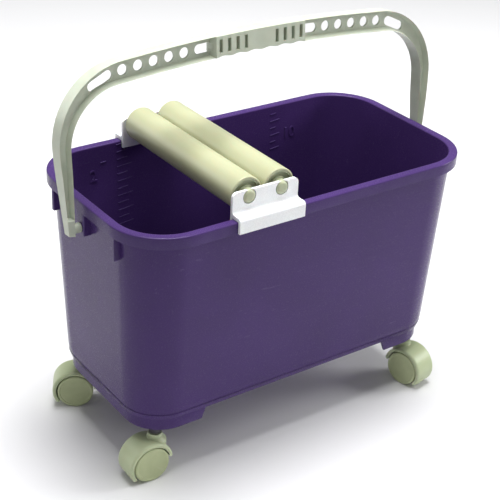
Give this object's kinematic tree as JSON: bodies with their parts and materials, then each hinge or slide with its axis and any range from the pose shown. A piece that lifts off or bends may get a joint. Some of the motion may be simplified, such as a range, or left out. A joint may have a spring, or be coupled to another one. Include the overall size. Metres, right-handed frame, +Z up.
{
  "type": "mop bucket with wringer",
  "caption": "Rectangular wheeled mop bucket with a clip-on twin-roller wringer, a swinging bail handle and hooded twin-wheel swivel casters.",
  "frame": {"origin": "on the floor under the middle of the bucket, at the height of the wheels' lowest point", "axes": "+X along the bucket's long side, +Z up, -Y the front long side"},
  "size_m": [0.525, 0.2678, 0.4892],
  "materials": {
    "tub_plastic": "satin moulded polypropylene",
    "handle_plastic": "satin moulded polypropylene",
    "bracket_plastic": "smooth white plastic",
    "roller_plastic": "smooth ivory plastic tube",
    "plug_plastic": "moulded ivory plastic",
    "hood_plastic": "moulded ivory plastic",
    "wheel_plastic": "moulded ivory plastic",
    "socket_plastic": "dark moulded plastic",
    "pin_steel": "zinc plated steel"
  },
  "bodies": {
    "tub": {"tub": "tub_plastic", "caster_socket_front_left": "socket_plastic", "caster_socket_back_left": "socket_plastic", "caster_socket_front_right": "socket_plastic", "caster_socket_back_right": "socket_plastic"},
    "handle": {"handle": "handle_plastic"},
    "wringer": {"wringer_bracket_front": "bracket_plastic", "wringer_bracket_back": "bracket_plastic"},
    "left_roller": {"left_roller_tube": "roller_plastic", "left_roller_plug_front": "plug_plastic", "left_roller_plug_back": "plug_plastic"},
    "right_roller": {"right_roller_tube": "roller_plastic", "right_roller_plug_front": "plug_plastic", "right_roller_plug_back": "plug_plastic"},
    "caster_front_left": {"caster_hood_front_left": "hood_plastic", "caster_stem_front_left": "pin_steel", "caster_axle_front_left": "pin_steel"},
    "inner_wheel_front_left": {"caster_inner_wheel_front_left": "wheel_plastic"},
    "outer_wheel_front_left": {"caster_outer_wheel_front_left": "wheel_plastic"},
    "caster_back_left": {"caster_hood_back_left": "hood_plastic", "caster_stem_back_left": "pin_steel", "caster_axle_back_left": "pin_steel"},
    "inner_wheel_back_left": {"caster_inner_wheel_back_left": "wheel_plastic"},
    "outer_wheel_back_left": {"caster_outer_wheel_back_left": "wheel_plastic"},
    "caster_front_right": {"caster_hood_front_right": "hood_plastic", "caster_stem_front_right": "pin_steel", "caster_axle_front_right": "pin_steel"},
    "inner_wheel_front_right": {"caster_inner_wheel_front_right": "wheel_plastic"},
    "outer_wheel_front_right": {"caster_outer_wheel_front_right": "wheel_plastic"},
    "caster_back_right": {"caster_hood_back_right": "hood_plastic", "caster_stem_back_right": "pin_steel", "caster_axle_back_right": "pin_steel"},
    "inner_wheel_back_right": {"caster_inner_wheel_back_right": "wheel_plastic"},
    "outer_wheel_back_right": {"caster_outer_wheel_back_right": "wheel_plastic"}
  },
  "joints": [
    {"name": "handle_swing", "type": "hinge", "parent": "tub", "child": "handle", "pos_m": [0, 0, 0.3], "axis": [1, 0, 0], "range_deg": [-121, 131]},
    {"name": "wringer_lift", "type": "slide", "parent": "tub", "child": "wringer", "axis": [0, 0, 1], "range_m": [0, 0.04]},
    {"name": "left_roller_spin", "type": "hinge", "parent": "wringer", "child": "left_roller", "pos_m": [-0.09675, 0, 0.353], "axis": [0, 1, 0], "continuous": true},
    {"name": "right_roller_spin", "type": "hinge", "parent": "wringer", "child": "right_roller", "pos_m": [-0.05325, 0, 0.353], "axis": [0, 1, 0], "continuous": true},
    {"name": "swivel_front_left", "type": "hinge", "parent": "tub", "child": "caster_front_left", "pos_m": [-0.193, -0.085, 0.05], "axis": [0, 0, 1], "continuous": true},
    {"name": "inner_wheel_spin_front_left", "type": "hinge", "parent": "caster_front_left", "child": "inner_wheel_front_left", "pos_m": [-0.20499, -0.08458, 0.0225], "axis": [-0.0349, -0.9994, 0], "continuous": true},
    {"name": "outer_wheel_spin_front_left", "type": "hinge", "parent": "caster_front_left", "child": "outer_wheel_front_left", "pos_m": [-0.20499, -0.08458, 0.0225], "axis": [-0.0349, -0.9994, 0], "continuous": true},
    {"name": "swivel_back_left", "type": "hinge", "parent": "tub", "child": "caster_back_left", "pos_m": [-0.193, 0.085, 0.05], "axis": [0, 0, 1], "continuous": true},
    {"name": "inner_wheel_spin_back_left", "type": "hinge", "parent": "caster_back_left", "child": "inner_wheel_back_left", "pos_m": [-0.20339, 0.091, 0.0225], "axis": [-0.5, -0.866, 0], "continuous": true},
    {"name": "outer_wheel_spin_back_left", "type": "hinge", "parent": "caster_back_left", "child": "outer_wheel_back_left", "pos_m": [-0.20339, 0.091, 0.0225], "axis": [-0.5, -0.866, 0], "continuous": true},
    {"name": "swivel_front_right", "type": "hinge", "parent": "tub", "child": "caster_front_right", "pos_m": [0.193, -0.085, 0.05], "axis": [0, 0, 1], "continuous": true},
    {"name": "inner_wheel_spin_front_right", "type": "hinge", "parent": "caster_front_right", "child": "inner_wheel_front_right", "pos_m": [0.19529, -0.09678, 0.0225], "axis": [0.9816, 0.1908, 0], "continuous": true},
    {"name": "outer_wheel_spin_front_right", "type": "hinge", "parent": "caster_front_right", "child": "outer_wheel_front_right", "pos_m": [0.19529, -0.09678, 0.0225], "axis": [0.9816, 0.1908, 0], "continuous": true},
    {"name": "swivel_back_right", "type": "hinge", "parent": "tub", "child": "caster_back_right", "pos_m": [0.193, 0.085, 0.05], "axis": [0, 0, 1], "continuous": true},
    {"name": "inner_wheel_spin_back_right", "type": "hinge", "parent": "caster_back_right", "child": "inner_wheel_back_right", "pos_m": [0.20283, 0.09188, 0.0225], "axis": [-0.5736, 0.8192, 0], "continuous": true},
    {"name": "outer_wheel_spin_back_right", "type": "hinge", "parent": "caster_back_right", "child": "outer_wheel_back_right", "pos_m": [0.20283, 0.09188, 0.0225], "axis": [-0.5736, 0.8192, 0], "continuous": true}
  ]
}
